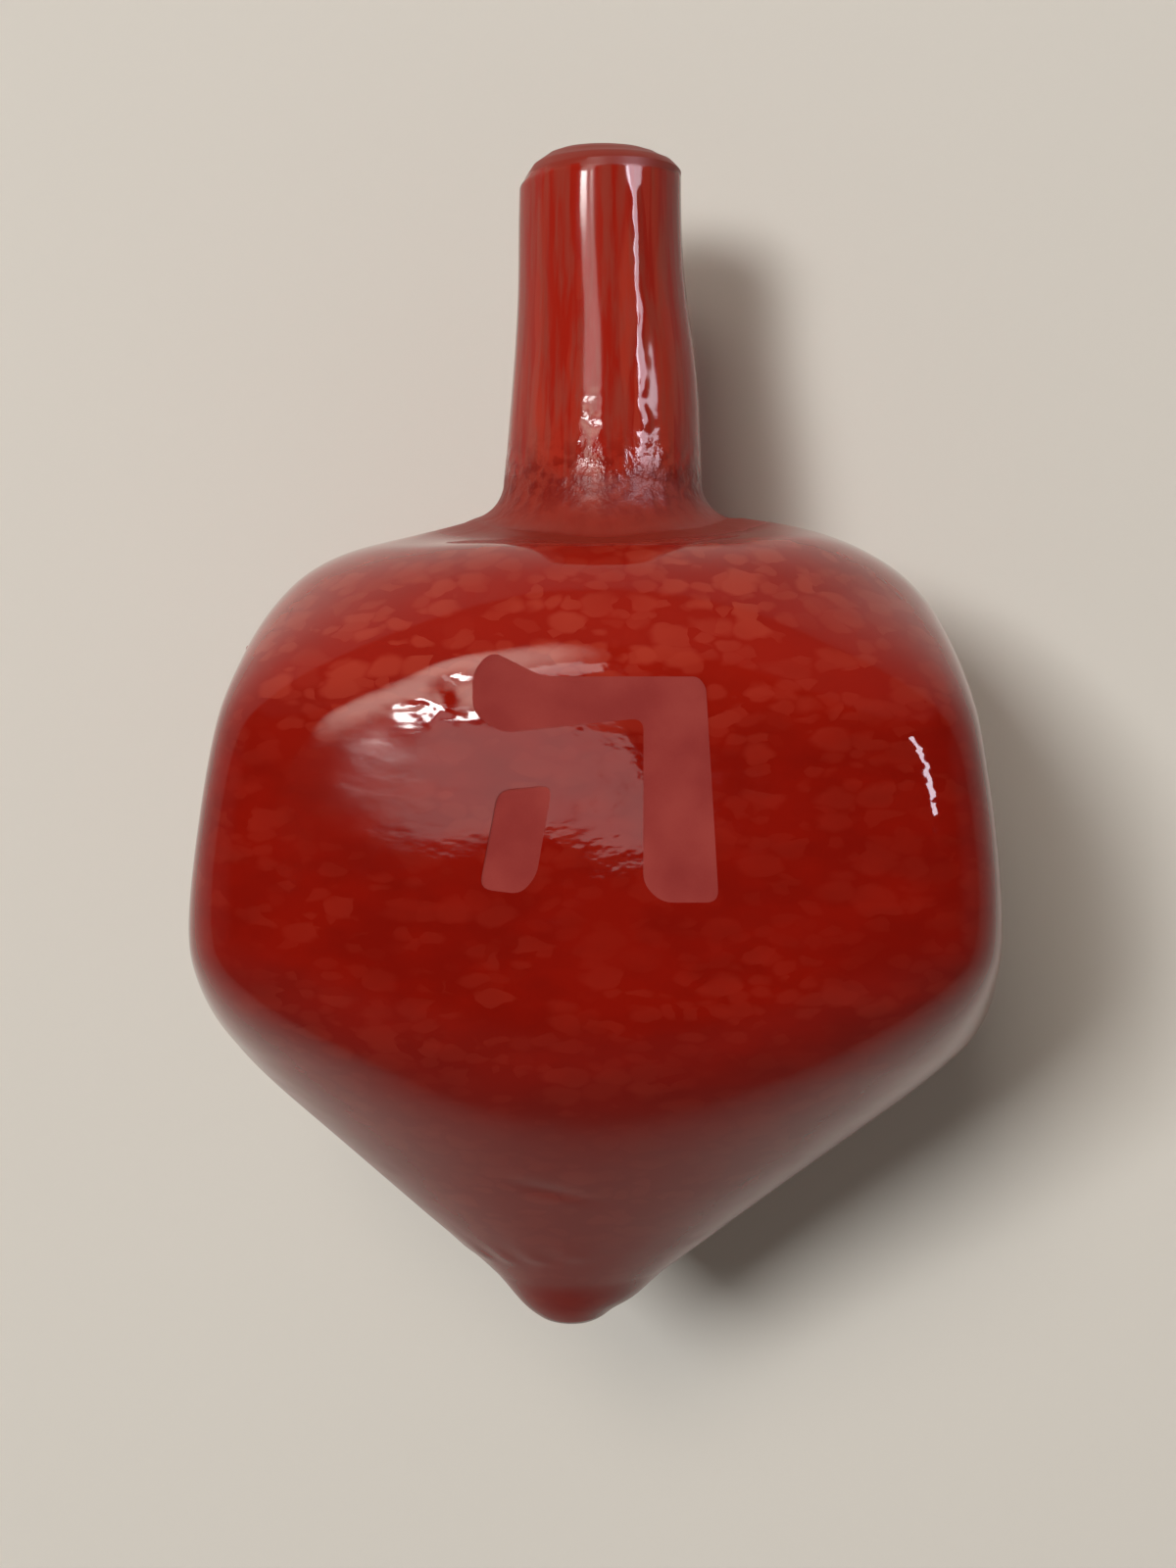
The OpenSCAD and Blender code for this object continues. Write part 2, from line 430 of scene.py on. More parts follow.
def drawn_glass(rows):
    """How far the outer glass of the stem stands out from its even form."""
    x, y, z = np.moveaxis(rows, 2, 0)
    turn = np.degrees(np.arctan2(x, -y))
    drawn = rows * np.array([1, 1, DRAWN_OUT])
    swell = swelling(drawn, STEM_SWELL) + swelling(drawn, STEM_FINE_SWELL)
    thick = spot(STEM_LEFT, x, z) + spot(STEM_RIGHT, x, z)
    welt_turn = WELT_TURN + swelling(rows * np.array([0, 0, 1]), WELT_PATH)
    welt = (WELT_HEIGHT + swelling(rows, WELT_SWELL)) * hump(turn, welt_turn, WELT_WIDE)
    welt *= smooth(*WELT_START, z)
    welt *= 1 - smooth(*WELT_END, z)
    crinkle = swelling(rows * np.array([1, 1, SQUEEZED]), PATCH_SWELL)
    patches = spot(FRONT_PATCH, turn, z) + spot(WELT_PATCH, turn, z)
    band = swelling(rows, BAND_SWELL) * hump(z, BAND_Z, BAND_REACH)
    ends = smooth(STEM_Z, STEM_Z + STEM_FADE, z) * (1 - smooth(GRIP_TOP_Z - BEVEL_FADE, GRIP_TOP_Z, z))
    return (swell + thick + welt + crinkle * patches + band) * ends


# Meshes


def ring_mesh(name, rows, poles=None):
    """Closed mesh of rows of points.

    Poles close its two ends, and without them its last row meets its first.
    """
    count, ring = rows.shape[:2]
    points = laid(rows.reshape(-1, 3)).tolist()
    across = [(k, (k + 1) % ring) for k in range(ring)]
    last = count - 1 if poles is not None else count
    faces = []
    for i in range(last):
        low, high = i * ring, (i + 1) % count * ring
        faces += [(low + a, low + b, high + b, high + a) for a, b in across]
    if poles is not None:
        points += laid(np.array(poles, float)).tolist()
        first, end = len(points) - 2, len(points) - 1
        top = (count - 1) * ring
        faces += [(b, a, first) for a, b in across]
        faces += [(top + a, top + b, end) for a, b in across]
    return mesh_object(name, points, faces)


def mesh_object(name, points, faces):
    mesh = bpy.data.meshes.new(name)
    mesh.from_pydata(points, [], faces)
    mesh.validate()
    piece = bpy.data.objects.new(name, mesh)
    bpy.context.scene.collection.objects.link(piece)
    return piece


def shade(piece):
    """Smooth shading that keeps sharp corners."""
    piece.data.shade_smooth()
    piece.data.set_sharp_from_angle(angle=SHARP_ANGLE)


def on_side(side, right, up, out):
    """Upright point on a pressed side: right and up from the letter's middle, out from the glass."""
    up += slant(LETTER_Z)
    out += FLAT_D
    reach = out * math.cos(SIDE_LEAN) - up * math.sin(SIDE_LEAN)
    z = out * math.sin(SIDE_LEAN) + up * math.cos(SIDE_LEAN)
    x = reach * math.cos(side) - right * math.sin(side)
    y = reach * math.sin(side) + right * math.cos(side)
    return x, y, z


def slab(name, side, outline, back, front):
    """Closed slab of a letter's outline on a side, from back to front."""
    count = len(outline)
    places = [(right * LETTER_H, up * LETTER_H) for right, up in outline]
    points = [on_side(side, right, up, back) for right, up in places]
    points += [on_side(side, right, up, front) for right, up in places]
    faces = [(i, (i + 1) % count, (i + 1) % count + count, i + count) for i in range(count)]
    faces += [tuple(range(count - 1, -1, -1)), tuple(range(count, 2 * count))]
    piece = mesh_object(name, laid(np.array(points)).tolist(), faces)
    bm = bmesh.new()
    bm.from_mesh(piece.data)
    bmesh.ops.recalc_face_normals(bm, faces=bm.faces)
    bm.to_mesh(piece.data)
    bm.free()
    return piece


# The letters, drawn one unit high about their middle
LETTER_CORNER = 0.05
# Most of an edge that the rounding of one corner takes up
EDGE_SHARE = 0.45
LETTERS = {
    "letter_nun": (NUN_SIDE, [(-0.22, 0.5), (0.18, 0.5), (0.28, 0.4), (0.28, -0.5), (-0.32, -0.5),
                              (-0.32, -0.27), (0.06, -0.27), (0.06, 0.27), (-0.22, 0.27)]),
    "letter_gimel": (GIMEL_SIDE, [(-0.26, 0.5), (0.15, 0.5), (0.25, 0.4), (0.25, -0.5), (0.03, -0.5),
                                  (0.03, -0.26), (-0.18, -0.5), (-0.36, -0.38), (0.03, 0.03),
                                  (0.03, 0.27), (-0.26, 0.27)]),
    "letter_hei": (HEI_SIDE, [(-0.47, 0.42), (-0.4, 0.5), (-0.2, 0.4), (0.4, 0.4), (0.43, 0.36),
                              (0.48, -0.47), (0.26, -0.47), (0.19, -0.4), (0.19, 0.24), (-0.36, 0.18),
                              (-0.47, 0.26)]),
    "letter_hei_leg": (HEI_SIDE, [(-0.37, -0.04), (-0.16, -0.02), (-0.22, -0.37), (-0.28, -0.44),
                                  (-0.44, -0.42)]),
    "letter_shin": (SHIN_SIDE, [(-0.48, 0.5), (-0.27, 0.5), (-0.27, -0.27), (-0.1, -0.27), (-0.1, 0.42),
                                (0.11, 0.42), (0.11, -0.27), (0.27, -0.27), (0.27, 0.5), (0.48, 0.5),
                                (0.48, -0.38), (0.36, -0.5), (-0.36, -0.5), (-0.48, -0.38)]),
}


def rounded_outline(outline):
    """The outline with each corner turned into an arc, as far as its edges allow."""
    points = []
    count = len(outline)
    for i, b in enumerate(outline):
        a, c = Vector(outline[i - 1]), Vector(outline[(i + 1) % count])
        b = Vector(b)
        reach = min(LETTER_CORNER, (a - b).length * EDGE_SHARE, (c - b).length * EDGE_SHARE)
        start, end = b + (a - b).normalized() * reach, b + (c - b).normalized() * reach
        for t in np.linspace(0, 1, LETTER_STEPS + 1):
            points.append(tuple((1 - t) ** 2 * start + 2 * t * (1 - t) * b + t * t * end))
    return points


def letter(name):
    side, outline = LETTERS[name]
    piece = slab(name + "_frost", side, rounded_outline(outline), -LETTER_BACK, -LETTER_SINK)
    shade(piece)
    return piece


def cut_letters(piece):
    """Cuts the letters' pockets into the sides."""
    cutters = []
    for name, (side, outline) in LETTERS.items():
        cutter = slab(name + "_cutter", side, rounded_outline(outline), -LETTER_BACK, WALL)
        cutters.append(cutter)
    with bpy.context.temp_override(active_object=cutters[0], selected_editable_objects=cutters):
        bpy.ops.object.join()
    cut = piece.modifiers.new("pockets", "BOOLEAN")
    cut.operation = "DIFFERENCE"
    cut.solver = "EXACT"
    cut.object = cutters[0]
    cut_mesh = bpy.data.meshes.new_from_object(piece.evaluated_get(bpy.context.evaluated_depsgraph_get()))
    piece.modifiers.clear()
    piece.data = cut_mesh
    bpy.data.objects.remove(cutters[0])


def casing():
    profile = body_profile()
    outside = pressed(profile, 0)
    outside += normals_of(outside) * worked_glass(outside)[..., None]
    x, y, z = np.moveaxis(outside, 2, 0)
    hollow = hollow_at(np.hypot(x, y), turns_of(BODY_RING))
    outside[..., 2] -= hollow * smooth(BELLY_Z, SHOULDER_Z - TURN_IN, z)
    within = inset(profile, WALL)[::-1]
    inside = pressed(within, WALL / math.cos(SIDE_LEAN))
    ledge = chain(BODY_STEP, (NECK_R, NECK_Z), (SPIGOT_R, NECK_Z), (SPIGOT_R, within[0][1]))
    mouth = sunk(revolved(ledge, BODY_RING))
    rows = np.concatenate([outside, mouth[1:], inside])
    poles = [(lean_at(SEAM_Z), 0, SEAM_Z), (lean_at(within[-1][1]), 0, within[-1][1])]
    piece = ring_mesh("casing_glass", rows, poles)
    cut_letters(piece)
    shade(piece)
    return piece


def collar():
    foot = math.asin(COLLAR_H / FLARE_R)
    flare = arc((STEM_BASE_R + FLARE_R, STEM_Z), FLARE_R, math.pi + foot, math.pi, CORNER_STEPS)
    lower = chain(STEM_STEP, (SPIGOT_R, NECK_Z), (NECK_R, NECK_Z))
    upper = chain(STEM_STEP, (STEM_BASE_R, STEM_Z), (SPIGOT_R, STEM_Z), (SPIGOT_R, NECK_Z))
    rows = revolved(np.concatenate([lower, flare[1:], upper[1:-1]]), BODY_RING)
    piece = ring_mesh("collar_glass", sunk(rows))
    shade(piece)
    return piece


def stem():
    socket = chain(STEM_STEP, (SPIGOT_R, SOCKET_Z), (SPIGOT_R, STEM_Z), (STEM_BASE_R, STEM_Z))
    foot, waist, top = (STEM_BASE_R, STEM_Z), (STEM_R, GRIP_Z), (STEM_R, GRIP_TOP_Z)
    outer = evenly(np.concatenate([[foot], corner(foot, waist, top, WAIST_ROUND), [top]]), STEM_STEP)
    low_edge = (STEM_R - LOW_EDGE_IN, GRIP_TOP_Z + LOW_EDGE_UP)
    high_edge = (END_R + HIGH_EDGE_OUT, HEIGHT - HIGH_EDGE_DOWN)
    end = chain(STEM_STEP, top, low_edge, high_edge, (END_R, HEIGHT), (STEM_STEP, HEIGHT))
    outside = revolved(outer, STEM_RING)
    outside += normals_of(outside) * drawn_glass(outside)[..., None]
    rows = np.concatenate([revolved(socket, STEM_RING)[:-1], outside, revolved(end, STEM_RING)[1:]])
    x, y, z = np.moveaxis(rows, 2, 0)
    aslant = smooth(GRIP_Z, GRIP_TOP_Z, z) * (1 - smooth(GRIP_TOP_Z, HEIGHT, z))
    rows[..., 2] += (BEVEL_SLANT[0] * x + BEVEL_SLANT[1] * y) * aslant
    piece = ring_mesh("stem_glass", rows, [(0, 0, SOCKET_Z), (0, 0, HEIGHT)])
    shade(piece)
    return piece


def tip():
    bead = arc((0, TIP_R), TIP_R, -math.pi / 2, -CONE_ANGLE, CORNER_STEPS)
    profile = evenly(np.concatenate([bead, [(SEAM_R, SEAM_Z)]]), TIP_STEP)[1:]
    rows = revolved(profile, BODY_RING, -TIP_LEAN)
    rows += normals_of(rows) * beaded_glass(rows)[..., None]
    piece = ring_mesh("tip_glass", rows, [(-TIP_LEAN, 0, 0), (-TIP_LEAN, 0, SEAM_Z)])
    shade(piece)
    return piece


# Values that the materials read from the surface

BODY_PIECES = ("casing_glass",)
DRAWN_PIECES = ("stem_glass", "collar_glass")

# Cells of the grain to a millimetre, across and up
BODY_GRAIN = (0.75, 0.75, 1.4)
TOP_GRAIN = (0.8, 0.8, 1.4)
STEM_GRAIN = (1.4, 1.4, 0.12)
# The shoulder's grain is pulled in towards the stem by this share, from this radius
PULL_R = 24
PULL = 0.75
# Least radius that the pull is divided by
PULL_LEAST_R = 1

# Heights between which the grain turns to the shoulder's, the flecks and the painted light of the shoulder
# gather, and the painted shade and satin of the cone end
TOP_GRAIN_Z = (38, 48)
FLECK_AND_LIGHT_Z = (38, 46)
SHADE_AND_SATIN_Z = (12, 27)
# Flecks and painted light of the body, what the shoulder has more, and what the stem and collar have on top
# of that
BODY_FLECKS_AND_LIGHT = 0.22
SHOULDER_FLECKS_AND_LIGHT = 0.78
STEM_FLECKS_AND_LIGHT = 0.29

# Chilled, hazy glass round the neck: its strength, ragged upper edge and outer edge
CHILL = 0.9
CHILL_TOP_Z = (54.5, 56.7)
CHILL_R = (13, 9.5)
CHILL_CRINKLE = 0.5
# Haze all over the stem and collar
STEM_HAZE = 0.12
# The ground bevel's haze starts sharply, this far over its lower edge
GROUND_FADE = 0.05
GROUND_EDGE = (0.01, 0.02)
# Middle and reach of the wrinkles round the stem's foot, which carry painted shade
WRINKLE_Z = 54.8
WRINKLE_REACH = 2


def store(piece, name, kind, values):
    layer = piece.data.attributes.new(name, kind, "POINT")
    field = "vector" if kind == "FLOAT_VECTOR" else "value"
    layer.data.foreach_set(field, values.astype(np.float32).ravel())


def grain_of(points, drawn):
    """Points as the grain runs: round the body, in towards the stem on the shoulder, and along the stem."""
    x, y, z = points.T
    radius = np.hypot(x, y)
    spun = (1 - smooth(*TOP_GRAIN_Z, z))[:, None]
    pulled = (PULL_R + PULL * (radius - PULL_R)) / np.maximum(radius, PULL_LEAST_R)
    pulled = np.stack([pulled, pulled, np.ones_like(z)], 1)
    on_top = points * (np.array(TOP_GRAIN) * pulled)
    on_body = points * np.array(BODY_GRAIN) * spun + on_top * (1 - spun)
    on_stem = points * np.array(STEM_GRAIN)
    return on_body * (1 - drawn) + on_stem * drawn


def chill_of(points):
    """How hazy the chilled glass round the neck is."""
    x, y, z = points.T
    risen = CHILL * smooth(SHOULDER_Z - TURN_IN, NECK_Z - TURN_IN, z)
    ragged = z + swelling(points, CHILL_SWELL)
    return risen * (1 - smooth(*CHILL_TOP_Z, ragged)) * smooth(*CHILL_R, np.hypot(x, y))


def ground_of(z):
    """1 on the ground bevel and end."""
    over = z - GRIP_TOP_Z
    return smooth(-GROUND_FADE, GROUND_FADE, over) * smooth(*GROUND_EDGE, over)


def mark_surface(piece):
    """Stores the run of the grain, and where the surface is flecked with painted light, has painted shade
    and satin on the cone, is hazy, is wrinkled with painted shade, or is crinkled.
    """
    points = np.array([v.co for v in piece.data.vertices], float).reshape(-1, 3)
    points = upright(points)
    x, y, z = points.T
    drawn = 1.0 if piece.name in DRAWN_PIECES else 0.0
    front = smooth(*FRONT_Y, y)
    chill = chill_of(points)
    haze = np.maximum(np.maximum(chill, ground_of(z)), spot(SCUFF, x, z) * front)
    # More flecks on the shoulder and stem, which also carry the painted light there
    flecks_and_light = BODY_FLECKS_AND_LIGHT + SHOULDER_FLECKS_AND_LIGHT * smooth(*FLECK_AND_LIGHT_Z, z) + STEM_FLECKS_AND_LIGHT * drawn
    crinkle = (spot(CRINKLE, x, z) + spot(RIM_CRINKLE, x, z)) * front + CHILL_CRINKLE * chill
    store(piece, "grain", "FLOAT_VECTOR", grain_of(points, drawn))
    store(piece, "haze", "FLOAT", np.maximum(haze, STEM_HAZE * drawn))
    store(piece, "flecks_and_light", "FLOAT", flecks_and_light)
    # Painted shade on the cone, where its glass is also satin
    store(piece, "cone_shade_and_satin", "FLOAT", 1 - smooth(*SHADE_AND_SATIN_Z, z))
    store(piece, "drawn", "FLOAT", np.full_like(z, drawn))
    # Where the stem's foot is wrinkled, with painted shade in the wrinkles
    store(piece, "wrinkled", "FLOAT", drawn * hump(z, WRINKLE_Z, WRINKLE_REACH))
    store(piece, "crinkle", "FLOAT", crinkle)


# Materials

# A noise's scale and detail, and a soft step from to_low to to_high as a value goes from low to high
Pattern = namedtuple("Pattern", "scale detail")
Step = namedtuple("Step", "low high to_low to_high", defaults=(0.0, 1.0))
# Flakes: the scale of their cells, the tones of the cells that have one, and how much they show
Flakes = namedtuple("Flakes", "scale tones weight")


class Nodes:
    """A material's node tree, with short calls to add and link nodes."""

    def __init__(self, owner):
        owner.use_nodes = True
        self.material = owner
        self.tree = owner.node_tree
        self.shader = self.tree.nodes.get("Principled BSDF")

    def add(self, kind, settings=None, **sockets):
        node = self.tree.nodes.new(kind)
        for key, value in (settings or {}).items():
            setattr(node, key, value)
        for key, value in sockets.items():
            self.put(node.inputs[key.replace("_", " ")], value)
        return node

    def put(self, socket, value):
        if isinstance(value, bpy.types.NodeSocket):
            self.tree.links.new(value, socket)
        else:
            socket.default_value = value

    def surface(self, name, value):
        self.put(self.shader.inputs[name], value)

    def math(self, operation, a, b=0.0):
        node = self.add("ShaderNodeMath", {"operation": operation})
        self.put(node.inputs[0], a)
        self.put(node.inputs[1], b)
        return node.outputs[0]

    def times(self, a, b):
        return self.math("MULTIPLY", a, b)

    def attribute(self, name, output="Fac"):
        return self.add("ShaderNodeAttribute", {"attribute_name": name}).outputs[output]

    def place(self):
        return self.add("ShaderNodeTexCoord").outputs["Object"]

    def noise(self, place, pattern, output="Fac"):
        node = self.add("ShaderNodeTexNoise", Vector=place, Scale=pattern.scale, Detail=pattern.detail)
        return node.outputs[output]

    def step(self, value, step):
        node = self.add("ShaderNodeMapRange", {"interpolation_type": "SMOOTHSTEP"}, Value=value)
        for key, number in zip(("From Min", "From Max", "To Min", "To Max"), step):
            self.put(node.inputs[key], number)
        return node.outputs["Result"]

    def mix(self, share, a, b):
        node = self.add("ShaderNodeMix", {"data_type": "RGBA"})
        self.put(node.inputs[0], share)
        self.put(node.inputs[6], a)
        self.put(node.inputs[7], b)
        return node.outputs[2]

    def bump(self, height, strength, distance):
        node = self.add("ShaderNodeBump", Height=height, Strength=strength, Distance=distance)
        self.surface("Normal", node.outputs["Normal"])

    def flakes(self, place, flakes):
        """Soft-edged flakes in some of the cells of a broken pattern."""
        cells = self.add("ShaderNodeTexVoronoi", Vector=place, Scale=flakes.scale)
        tone = self.add("ShaderNodeSeparateColor", Color=cells.outputs["Color"]).outputs[0]
        kept = self.step(tone, flakes.tones)
        body = self.step(cells.outputs["Distance"], FLAKE_EDGE)
        return self.times(self.times(kept, body), flakes.weight)


GLASS_IOR = 1.5
# Patches of tone in plain noise
TONES = Step(0.3, 0.7)

# Red glass, whose patterns are scaled to the grain, apart from the wrinkles, to a metre
DEEP_RED = (0.2, 0.004, 0.0012, 1)
DARK_RED = (0.158, 0.003, 0.001, 1)
# Painted shade: the red of the cone, which turns away from the light
CONE_SHADE_RED = (0.128, 0.003, 0.001, 1)
# Paler red of the shoulder and stem: partly glass with more flakes, partly painted light where the light
# falls on the top
SHOULDER_LIT_RED = (0.33, 0.012, 0.005, 1)
FLAKE_RED = (0.46, 0.065, 0.036, 1)
STREAK_RED = (0.25, 0.056, 0.038, 1)
GROUND_RED = (0.24, 0.022, 0.012, 1)
WARP = Pattern(0.5, 2.0)
WARP_REACH = (1.6, 1.6, 1.6)
SMALL_FLAKES = Flakes(1.0, Step(0.5, 0.75), 0.36)
LARGE_FLAKES = Flakes(0.62, Step(0.55, 0.8), 0.48)
FLAKE_EDGE = Step(0.42, 0.72, 1.0, 0.0)
FLAKE_CLOUDS = Pattern(0.12, 3.0)
FLAKE_CLOUD_TONES = Step(0.35, 0.65, 0.35, 1.0)
DEPTHS = Pattern(0.3, 2.0)
DEPTH_TONES = Step(0.35, 0.7)
# How far the cone takes its painted shade, and the shoulder its paler red, which is partly painted light
CONE_SHADE_SHARE = 0.85
SHOULDER_LIT_SHARE = 0.7
STREAKS = Pattern(1.5, 4.0)
STREAK_TONES = Step(0.38, 0.68, 0.0, 0.55)
WRINKLES = Pattern(1300.0, 3.0)
# How much painted shade the wrinkles take
WRINKLE_SHADE = Step(0.42, 0.6, 0.0, 0.75)
SMEARS = Pattern(0.5, 4.0)
SMEAR_ROUGHNESS = Step(0.45, 0.8, 0.03, 0.07)
HAZE_ROUGHNESS = 0.4
CONE_ROUGHNESS = 0.2
RED_SPECULAR = 0.2
RIPPLES = Pattern(0.8, 2.0)
RIPPLE_HEIGHT = 0.06
CRINKLES = Pattern(0.9, 1.0)
WRINKLE_HEIGHT = 1.6
RED_BUMP = 0.1 * MM


def red_colour(n, grain, wrinkles):
    """Deep red with paler flakes, streaked up the stem and duller where it is hazy; paler on the shoulder
    and stem from more flakes and painted light, with painted shade on the cone and in the wrinkles.
    """
    warp = n.noise(grain, WARP, "Color")
    shifted = n.add("ShaderNodeVectorMath", {"operation": "MULTIPLY_ADD"})
    n.put(shifted.inputs[0], warp)
    n.put(shifted.inputs[1], WARP_REACH)
    n.put(shifted.inputs[2], grain)
    bent = shifted.outputs[0]
    flecks_and_light = n.attribute("flecks_and_light")
    clouds = n.step(n.noise(grain, FLAKE_CLOUDS), FLAKE_CLOUD_TONES)
    flakes = n.math("MAXIMUM", n.flakes(bent, SMALL_FLAKES), n.flakes(bent, LARGE_FLAKES))
    flakes = n.times(n.times(flakes, flecks_and_light), clouds)
    deep = n.mix(n.step(n.noise(grain, DEPTHS), DEPTH_TONES), DEEP_RED, DARK_RED)
    # Painted shade: darker red on the cone, which turns away from the light
    deep = n.mix(n.times(n.attribute("cone_shade_and_satin"), CONE_SHADE_SHARE), deep, CONE_SHADE_RED)
    # Paler on the shoulder and stem: partly more flakes, partly painted light where the light falls on the
    # top
    deep = n.mix(n.times(flecks_and_light, SHOULDER_LIT_SHARE), deep, SHOULDER_LIT_RED)
    colour = n.mix(flakes, deep, FLAKE_RED)
    streaks = n.step(n.noise(grain, STREAKS), STREAK_TONES)
    colour = n.mix(n.times(streaks, n.attribute("drawn")), colour, STREAK_RED)
    colour = n.mix(n.attribute("haze"), colour, GROUND_RED)
    # Painted shade in the wrinkles round the stem's foot
    shaded = n.times(n.step(wrinkles, WRINKLE_SHADE), n.attribute("wrinkled"))
    return n.mix(shaded, colour, DARK_RED)


def red_roughness(n, grain):
    """Glossy with faint smears, satin on the cone and dull where it is hazy."""
    smears = n.step(n.noise(grain, SMEARS), SMEAR_ROUGHNESS)
    dull = n.times(n.attribute("haze"), HAZE_ROUGHNESS)
    satin = n.times(n.attribute("cone_shade_and_satin"), CONE_ROUGHNESS)
    return n.math("ADD", smears, n.math("ADD", dull, satin))


def red_relief(n, grain, wrinkles):
    """Faint ripples all over, with crinkles and wrinkles where the surface has them."""
    ripples = n.times(n.noise(grain, RIPPLES), RIPPLE_HEIGHT)
    crinkles = n.times(n.noise(grain, CRINKLES), n.attribute("crinkle"))
    wrinkled = n.times(n.times(wrinkles, n.attribute("wrinkled")), WRINKLE_HEIGHT)
    return n.math("ADD", n.math("ADD", ripples, crinkles), wrinkled)


def red_glass():
    """Dense red glass with paler flakes melted into it."""
    n = Nodes(bpy.data.materials.new("red_glass"))
    grain = n.attribute("grain", "Vector")
    wrinkles = n.noise(n.place(), WRINKLES)
    n.surface("Base Color", red_colour(n, grain, wrinkles))
    n.surface("Roughness", red_roughness(n, grain))
    n.surface("IOR", GLASS_IOR)
    n.surface("Specular IOR Level", RED_SPECULAR)
    n.bump(red_relief(n, grain, wrinkles), 1.0, RED_BUMP)
    return n.material


# Frosted glass, with its patterns scaled to a metre
FROST_DARK = (0.23, 0.021, 0.018, 1)
FROST_PALE = (0.29, 0.038, 0.031, 1)
FROST_CLOUDS = Pattern(260.0, 3.0)
GRIT = Pattern(9000.0, 2.0)
GRIT_ROUGHNESS = Step(0.3, 0.7, 0.6, 0.7)
FROST_SPECULAR = 0.3
GRIT_STRENGTH = 0.15
GRIT_BUMP = 0.02 * MM


def frosted_glass():
    """Red glass blasted to a matt face."""
    n = Nodes(bpy.data.materials.new("frosted_glass"))
    place = n.place()
    grit = n.noise(place, GRIT)
    n.surface("Base Color", n.mix(n.step(n.noise(place, FROST_CLOUDS), TONES), FROST_DARK, FROST_PALE))
    n.surface("Roughness", n.step(grit, GRIT_ROUGHNESS))
    n.surface("Specular IOR Level", FROST_SPECULAR)
    n.surface("IOR", GLASS_IOR)
    n.bump(grit, GRIT_STRENGTH, GRIT_BUMP)
    return n.material


# Clear glass, with its patterns scaled to a metre
CLEAR_COOL = (0.9, 0.96, 0.95, 1)
CLEAR_WHITE = (0.96, 0.98, 0.98, 1)
CLEAR_CLOUDS = Pattern(60.0, 2.0)
SEED_SCALE = 400.0
SEED_ROUGHNESS = Step(0.05, 0.2, 0.12, 0.02)
SEED_STRENGTH = 0.05
SEED_BUMP = 0.05 * MM


def clear_glass():
    """Clear glass with a few seeds in it."""
    n = Nodes(bpy.data.materials.new("clear_glass"))
    place = n.place()
    seeds = n.add("ShaderNodeTexVoronoi", Vector=place, Scale=SEED_SCALE).outputs["Distance"]
    n.surface("Base Color", n.mix(n.noise(place, CLEAR_CLOUDS), CLEAR_COOL, CLEAR_WHITE))
    n.surface("Roughness", n.step(seeds, SEED_ROUGHNESS))
    n.surface("Transmission Weight", 1.0)
    n.surface("IOR", GLASS_IOR)
    n.bump(seeds, SEED_STRENGTH, SEED_BUMP)
    return n.material


# Floor and light, in metres

FLOOR_REACH = 3.0
FLOOR_DARK = (0.69, 0.675, 0.63, 1)
FLOOR_PALE = (0.72, 0.705, 0.66, 1)
FLOOR_CLOUDS = Pattern(6.0, 3.0)
FLOOR_ROUGHNESS = 0.6


def floor_paint():
    n = Nodes(bpy.data.materials.new("floor_paint"))
    tone = n.step(n.noise(n.place(), FLOOR_CLOUDS), TONES)
    n.surface("Base Color", n.mix(tone, FLOOR_DARK, FLOOR_PALE))
    n.surface("Roughness", FLOOR_ROUGHNESS)
    return n.material


def floor():
    reach = FLOOR_REACH
    corners = [(-reach, -reach, 0), (reach, -reach, 0), (reach, reach, 0), (-reach, reach, 0)]
    piece = mesh_object("floor", corners, [(0, 1, 2, 3)])
    piece.data.materials.append(floor_paint())


# Soft light panels, a metre away: a panel looks level times as bright as white
Panel = namedtuple("Panel", "direction size level colour turn shape", defaults=(0, "RECTANGLE"))
DAYLIGHT = (1, 0.97, 0.95)
KEY = Panel((-0.33, 0.33, 0.88), (0.22, 0.22), 43, (1, 0.99, 0.97))
# Panels that show only as reflections: on the body alone, on every piece, and on the stem and collar alone
BODY_PANELS = {
    "window": Panel((-0.105, 0.4, 0.91), (0.08, 0.07), 95, DAYLIGHT),
    "band": Panel((-0.03, 0.465, 0.885), (0.08, 0.05), 8, (1, 0.94, 0.91)),
    "ceiling_panel": Panel((-0.054, 0.316, 0.947), (0.125, 0.075), 3.3, (1, 0.93, 0.89), -0.33, "ELLIPSE"),
}
SHARED_PANELS = {
    "strip": Panel((0.56, 0.41, 0.72), (0.26, 0.06), 36, (0.92, 0.88, 1), -0.25),
}
STEM_PANELS = {
    "lamp": Panel((-0.29, 0.3, 0.905), (0.11, 0.05), 110, DAYLIGHT, -0.82),
    "stem_panel": Panel((-0.21, 0.39, 0.9), (0.26, 0.14), 6.2, (1, 0.94, 0.9), -0.52),
    "stem_strip": Panel((0.72, 0.36, 0.6), (0.3, 0.4), 19, (0.95, 0.88, 1)),
    "stem_sparkle": Panel((-0.2, 0.19, 0.96), (0.3, 0.1), 60, DAYLIGHT),
}


def panel_light(name, panel):
    """Light panel that faces the dreidel."""
    light = bpy.data.lights.new(name, "AREA")
    light.shape = panel.shape
    light.size, light.size_y = panel.size
    light.energy = panel.level * math.pi * panel.size[0] * panel.size[1]
    light.color = panel.colour
    holder = bpy.data.objects.new(name, light)
    holder.location = Vector(panel.direction).normalized()
    facing = Vector(panel.direction).to_track_quat("Z", "Y") @ Quaternion((0, 0, 1), panel.turn)
    holder.rotation_euler = facing.to_euler()
    holder.visible_camera = False
    bpy.context.scene.collection.objects.link(holder)
    return holder


